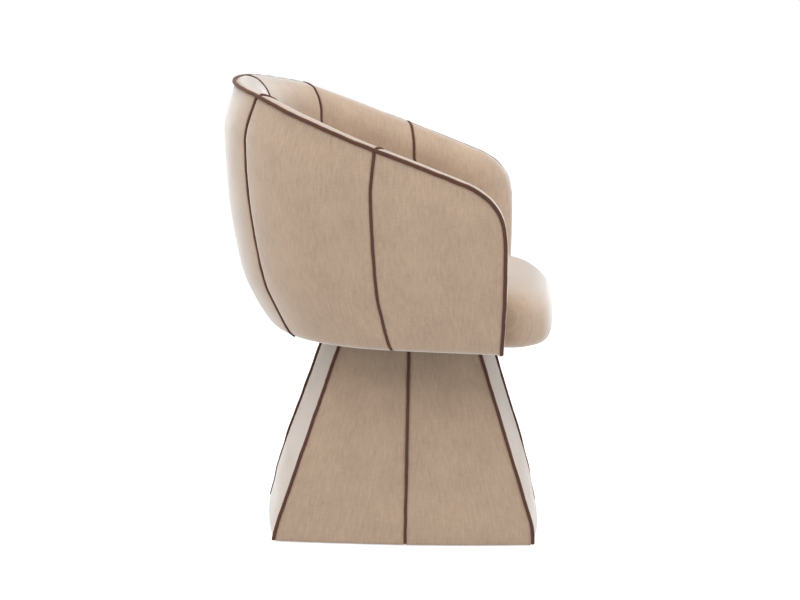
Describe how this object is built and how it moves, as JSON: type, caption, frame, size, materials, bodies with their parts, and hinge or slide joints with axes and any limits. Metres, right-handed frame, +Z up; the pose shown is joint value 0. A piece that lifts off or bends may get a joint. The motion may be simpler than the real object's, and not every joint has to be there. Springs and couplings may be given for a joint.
{
  "type": "pedestal swivel armchair",
  "caption": "Upholstered barrel armchair in beige woven fabric with dark brown piping, turning on a flared four-sided upholstered pedestal base.",
  "frame": {"origin": "on the floor, on the swivel axis", "axes": "+Z up, the sitter faces -Y, the sitter's left is +X"},
  "size_m": [0.6046, 0.5907, 0.784],
  "materials": {
    "beige_fabric": "woven, matte, pale sheen at a glance",
    "piping_fabric": "chocolate brown cord, matte",
    "black_cloth": "non-woven, matte",
    "foam": "open-cell foam",
    "plywood": "raw birch plywood",
    "plate_steel": "black, satin",
    "bright_steel": "zinc plated",
    "foot_rubber": "matte"
  },
  "bodies": {
    "base": {"base_corner_piping_back": "piping_fabric", "base_corner_piping_front": "piping_fabric", "base_corner_piping_left": "piping_fabric", "base_corner_piping_right": "piping_fabric", "base_dust_cloth": "black_cloth", "base_foot_board": "plywood", "base_foot_pad": "foot_rubber", "base_panel_back_a": "beige_fabric", "base_panel_back_b": "beige_fabric", "base_panel_front_a": "beige_fabric", "base_panel_front_b": "beige_fabric", "base_panel_left_a": "beige_fabric", "base_panel_left_b": "beige_fabric", "base_panel_right_a": "beige_fabric", "base_panel_right_b": "beige_fabric", "base_seam_piping_back": "piping_fabric", "base_seam_piping_front": "piping_fabric", "base_seam_piping_left": "piping_fabric", "base_seam_piping_right": "piping_fabric", "base_side_back": "plywood", "base_side_front": "plywood", "base_side_left": "plywood", "base_side_right": "plywood", "base_top_board": "plywood", "lower_screws": "bright_steel", "swivel_balls": "bright_steel", "swivel_lower_plate": "plate_steel", "swivel_pivot": "bright_steel"},
    "seat": {"inner_panel_arm_left": "beige_fabric", "inner_panel_arm_right": "beige_fabric", "inner_panel_back_left": "beige_fabric", "inner_panel_back_right": "beige_fabric", "inner_panel_side_left": "beige_fabric", "inner_panel_side_right": "beige_fabric", "inner_piping_arm_left": "piping_fabric", "inner_piping_arm_right": "piping_fabric", "inner_piping_centre": "piping_fabric", "inner_piping_corner_left": "piping_fabric", "inner_piping_corner_right": "piping_fabric", "outer_panel_arm_left": "beige_fabric", "outer_panel_arm_right": "beige_fabric", "outer_panel_back_left": "beige_fabric", "outer_panel_back_right": "beige_fabric", "outer_panel_side_left": "beige_fabric", "outer_panel_side_right": "beige_fabric", "outer_piping_arm_left": "piping_fabric", "outer_piping_arm_right": "piping_fabric", "outer_piping_centre": "piping_fabric", "outer_piping_corner_left": "piping_fabric", "outer_piping_corner_right": "piping_fabric", "rim_piping": "piping_fabric", "seat_board": "plywood", "seat_cushion": "beige_fabric", "seat_dust_cloth": "black_cloth", "shell_screws": "bright_steel", "swivel_upper_plate": "plate_steel", "tub_shell": "plywood", "upper_bolts": "bright_steel", "upper_tee_nuts": "bright_steel", "wall_foam": "foam"}
  },
  "joints": [
    {"name": "swivel", "type": "hinge", "parent": "base", "child": "seat", "pos_m": [0, 0, 0.3375], "axis": [0, 0, 1], "continuous": true}
  ]
}
